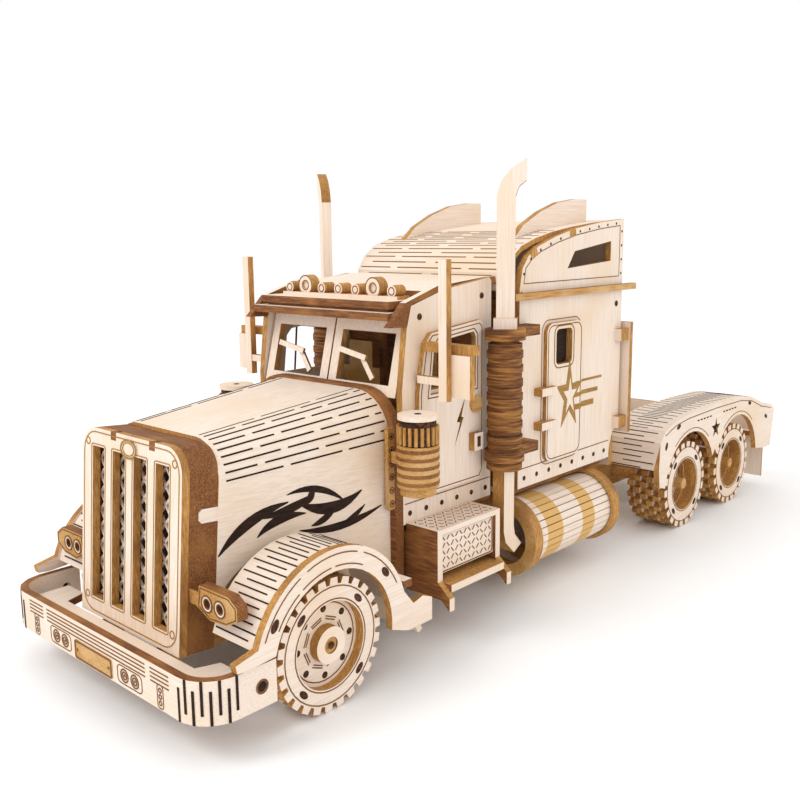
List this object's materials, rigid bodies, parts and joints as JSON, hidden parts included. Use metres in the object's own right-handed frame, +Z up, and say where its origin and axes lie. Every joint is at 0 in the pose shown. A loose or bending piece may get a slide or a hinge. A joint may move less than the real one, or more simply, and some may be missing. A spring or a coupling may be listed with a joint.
{
  "type": "wooden 3d jigsaw model",
  "caption": "Slot-together plywood model of a long-nosed tractor unit with sleeper cab, stacks, tanks and free-rolling toothed wheels.",
  "frame": {"origin": "centre of the bounding box at floor level", "axes": "+Y from the bumper to the tail, +X to the truck's left side, +Z up"},
  "size_m": [0.093, 0.294, 0.128],
  "materials": {
    "ply_face": "sanded, unvarnished basswood ply face",
    "honey_ply": "golden laser-toasted ply",
    "burnt_edge_ply": "brown laser-cut edge",
    "scorched_ply": "dark scorched edges of stacked discs"
  },
  "bodies": {
    "truck": {"left_chassis_rail": "honey_ply", "right_chassis_rail": "honey_ply", "chassis_cross_members": "burnt_edge_ply", "bumper_face": "ply_face", "bumper_shelf": "ply_face", "grille_plate": "ply_face", "grille_screen": "scorched_ply", "radiator_surround": "burnt_edge_ply", "hood_shell": "ply_face", "firewall_frame": "burnt_edge_ply", "fender_brackets": "honey_ply", "left_front_fender": "ply_face", "right_front_fender": "ply_face", "left_headlamp": "honey_ply", "right_headlamp": "honey_ply", "floor_board": "honey_ply", "left_cab_side": "ply_face", "right_cab_side": "ply_face", "left_door": "ply_face", "right_door": "ply_face", "windshield_frames": "ply_face", "cab_roof": "ply_face", "sun_visor": "burnt_edge_ply", "roof_lamps": "honey_ply", "wipers": "ply_face", "dashboard": "honey_ply", "seats": "ply_face", "cab_rear_wall": "honey_ply", "left_sleeper_side": "ply_face", "right_sleeper_side": "ply_face", "sleeper_front_wall": "burnt_edge_ply", "sleeper_rear_wall": "ply_face", "sleeper_roof": "ply_face", "roof_fins": "ply_face", "roof_ledges": "burnt_edge_ply", "rear_fairings": "honey_ply", "left_hatch": "ply_face", "right_hatch": "ply_face", "mufflers": "scorched_ply", "exhaust_stacks": "ply_face", "exhaust_elbows": "honey_ply", "air_cleaners": "honey_ply", "mirrors": "ply_face", "antennas": "honey_ply", "left_step_box": "honey_ply", "right_step_box": "honey_ply", "fuel_tank_slats": "ply_face", "fuel_tank_rings": "honey_ply", "left_rear_fender": "ply_face", "right_rear_fender": "ply_face", "mud_flaps": "ply_face", "fifth_wheel": "burnt_edge_ply", "rear_lamp_board": "honey_ply"},
    "front_axle": {"front_axle_dowel": "honey_ply", "front_tyres": "ply_face", "front_hubs": "ply_face"},
    "middle_axle": {"rear_axle_dowels_a": "honey_ply", "rear_wheels_a": "ply_face"},
    "rear_axle": {"rear_axle_dowels_b": "honey_ply", "rear_wheels_b": "ply_face"}
  },
  "joints": [
    {"name": "front_axle_roll", "type": "hinge", "parent": "truck", "child": "front_axle", "pos_m": [0, -0.111, 0.016], "axis": [1, 0, 0], "continuous": true},
    {"name": "middle_axle_roll", "type": "hinge", "parent": "truck", "child": "middle_axle", "pos_m": [0, 0.068, 0.016], "axis": [1, 0, 0], "continuous": true},
    {"name": "rear_axle_roll", "type": "hinge", "parent": "truck", "child": "rear_axle", "pos_m": [0, 0.109, 0.016], "axis": [1, 0, 0], "continuous": true}
  ]
}
